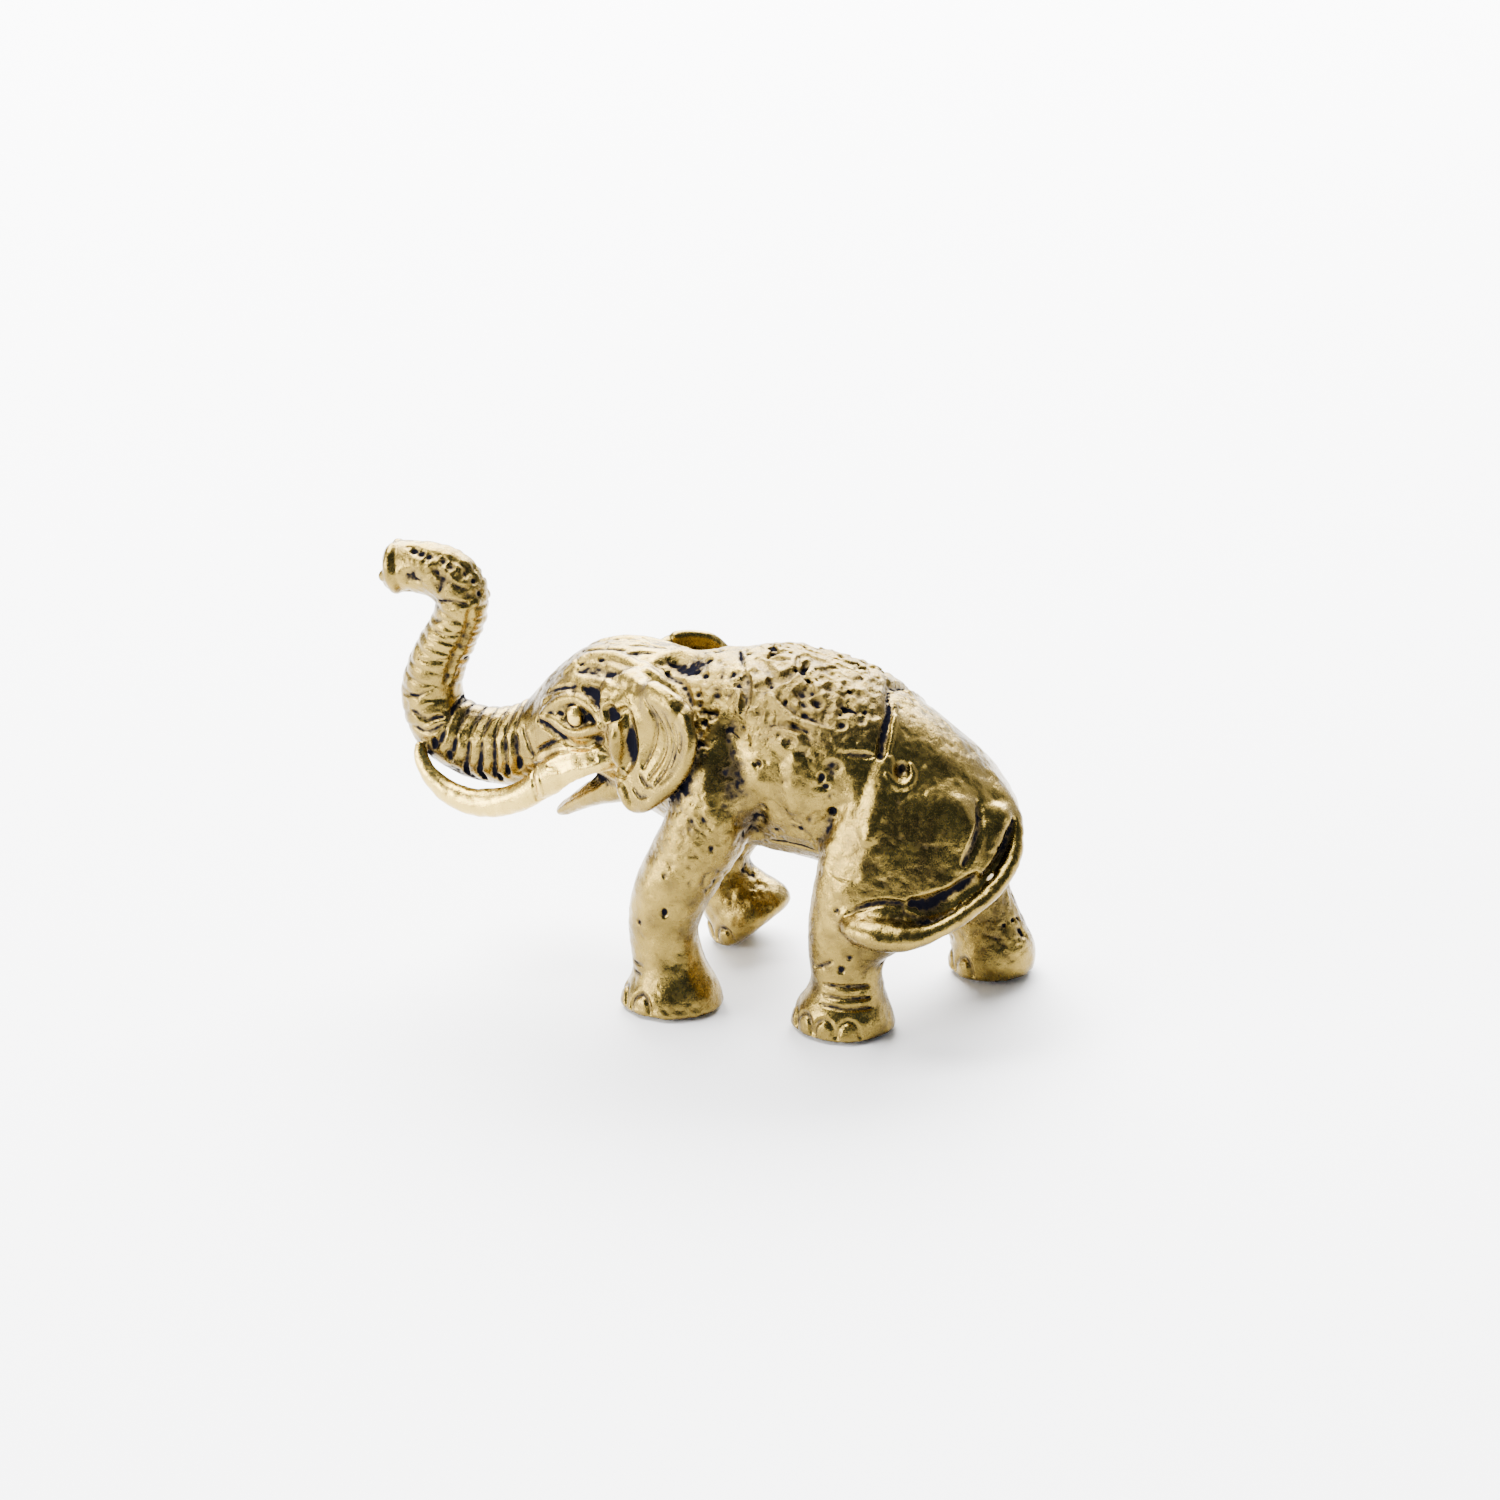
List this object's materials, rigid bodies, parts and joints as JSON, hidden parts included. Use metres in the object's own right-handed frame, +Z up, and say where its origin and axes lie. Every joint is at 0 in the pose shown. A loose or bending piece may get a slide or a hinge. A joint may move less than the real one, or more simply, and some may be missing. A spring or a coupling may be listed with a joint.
{
  "type": "elephant figurine",
  "caption": "Antiqued cast-brass miniature of a walking elephant with a raised trunk, tusks, saddle cloth and curled tail; a free-standing shelf ornament.",
  "frame": {"origin": "under the middle of the figure's box, on the ground that it stands on", "axes": "+X towards the elephant's tail, +Y towards its right side, +Z up"},
  "size_m": [0.0402, 0.017, 0.0252],
  "materials": {
    "antiqued_brass": "cast brass with dark patina left in the hollows, high points rubbed bright",
    "bright_brass": "cast brass, rubbed bright",
    "dark_brass": "cast brass, chased and darkened in the relief"
  },
  "bodies": {
    "root": {"torso": "antiqued_brass", "saddle_cloth": "dark_brass", "head": "antiqued_brass", "trunk": "antiqued_brass", "lower_jaw": "antiqued_brass", "left_tusk": "bright_brass", "right_tusk": "bright_brass", "left_ear": "antiqued_brass", "right_ear": "antiqued_brass", "left_eye": "bright_brass", "right_eye": "bright_brass", "front_left_leg": "antiqued_brass", "front_right_leg": "antiqued_brass", "hind_left_leg": "antiqued_brass", "hind_right_leg": "antiqued_brass", "tail": "antiqued_brass"}
  },
  "joints": []
}
